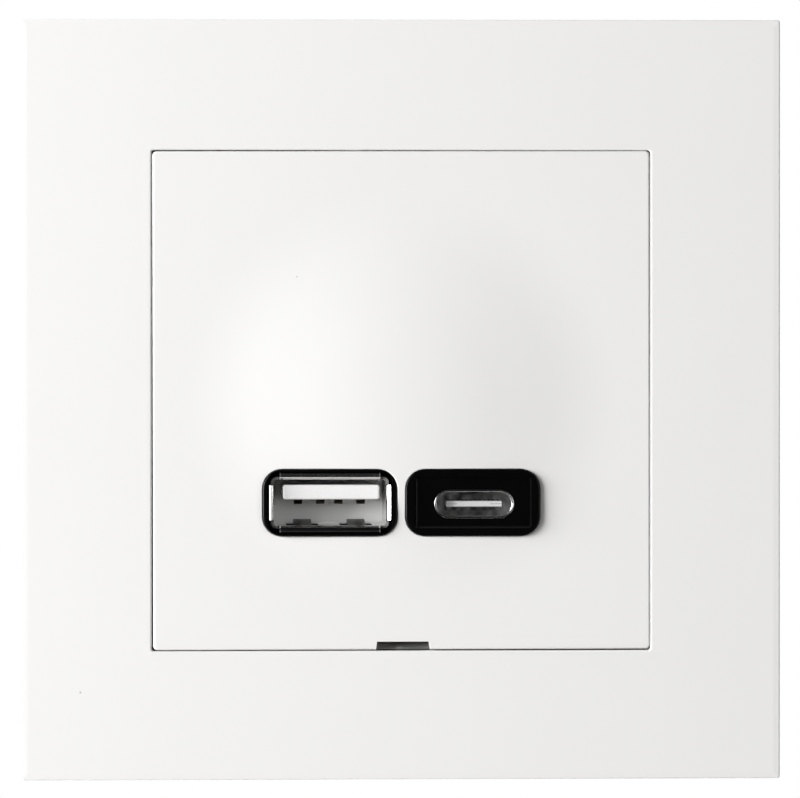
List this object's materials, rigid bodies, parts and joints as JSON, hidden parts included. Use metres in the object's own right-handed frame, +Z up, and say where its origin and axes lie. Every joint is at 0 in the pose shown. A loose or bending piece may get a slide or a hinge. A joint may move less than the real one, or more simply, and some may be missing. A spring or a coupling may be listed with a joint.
{
  "type": "usb wall socket",
  "caption": "Flush wall socket with one type A and one type C charging port in a square white frame, with a power supply can and screw terminals behind.",
  "frame": {"origin": "centre of the 60 mm screw pattern, on the wall's surface", "axes": "+X right seen from the room, +Z up, +Y into the wall, so the front faces -Y"},
  "size_m": [0.0846, 0.0429, 0.0846],
  "materials": {
    "white_cover": "satin white moulding",
    "steel_plate": "zinc-plated sheet steel",
    "black_housing": "smooth black moulding",
    "can_plastic": "matt dark grey moulding",
    "board": "green solder mask",
    "shell_metal": "nickel-plated steel",
    "white_insulator": "white moulding",
    "grey_insulator": "dark grey moulding",
    "contact_metal": "gold-plated",
    "terminal_plastic": "grey moulding",
    "bar_metal": "plain brass",
    "cage_metal": "zinc-plated steel",
    "ferrite": "ground ferrite",
    "bobbin_plastic": "black moulding",
    "winding_tape": "taped copper winding",
    "capacitor_can": "sleeved aluminium can",
    "chip_body": "moulded body",
    "blue_dip": "dipped coating",
    "yellow_body": "moulded body",
    "barrier_film": "insulating sheet"
  },
  "bodies": {
    "socket": {"cover_frame": "white_cover", "centre_plate": "white_cover", "support_plate": "steel_plate", "port_housing": "black_housing", "rear_can": "can_plastic", "main_board": "board", "mains_board": "board", "usb_a_shell": "shell_metal", "usb_a_insulator": "white_insulator", "usb_a_contacts": "contact_metal", "usb_c_shell": "shell_metal", "usb_c_insulator": "grey_insulator", "usb_c_contacts": "contact_metal", "terminal_block": "terminal_plastic", "terminal_bar_live": "bar_metal", "terminal_bar_neutral": "bar_metal", "transformer_core": "ferrite", "transformer_bobbin": "bobbin_plastic", "transformer_winding": "winding_tape", "bulk_capacitors": "capacitor_can", "output_capacitors": "capacitor_can", "switching_controller": "chip_body", "output_rectifier": "chip_body", "charge_controller": "chip_body", "optocoupler": "chip_body", "safety_capacitor": "blue_dip", "insulation_sheet": "barrier_film", "link_header": "bobbin_plastic", "link_pins": "contact_metal", "fuse": "chip_body", "filter_capacitor": "yellow_body", "varistor": "blue_dip", "bridge_rectifier": "chip_body", "choke_core": "ferrite", "choke_windings": "bar_metal"},
    "screw_live": {"terminal_screw_live": "cage_metal"},
    "screw_neutral": {"terminal_screw_neutral": "cage_metal"},
    "cage_live": {"terminal_cage_live": "cage_metal"},
    "cage_neutral": {"terminal_cage_neutral": "cage_metal"}
  },
  "joints": [
    {"name": "live_screw_turn", "type": "hinge", "parent": "socket", "child": "screw_live", "pos_m": [-0.007, 0.026, 0.015], "axis": [0, 0, -1], "range_deg": [0, 1800]},
    {"name": "live_cage_lift", "type": "slide", "parent": "socket", "child": "cage_live", "axis": [0, 0, 1], "range_m": [0, 0.0025]},
    {"name": "neutral_screw_turn", "type": "hinge", "parent": "socket", "child": "screw_neutral", "pos_m": [0.007, 0.026, 0.015], "axis": [0, 0, -1], "range_deg": [0, 1800]},
    {"name": "neutral_cage_lift", "type": "slide", "parent": "socket", "child": "cage_neutral", "axis": [0, 0, 1], "range_m": [0, 0.0025]}
  ],
  "couplings": [
    {"joint": "live_screw_turn", "follows": "live_cage_lift", "rad_per_m": 12566},
    {"joint": "neutral_screw_turn", "follows": "neutral_cage_lift", "rad_per_m": 12566}
  ]
}
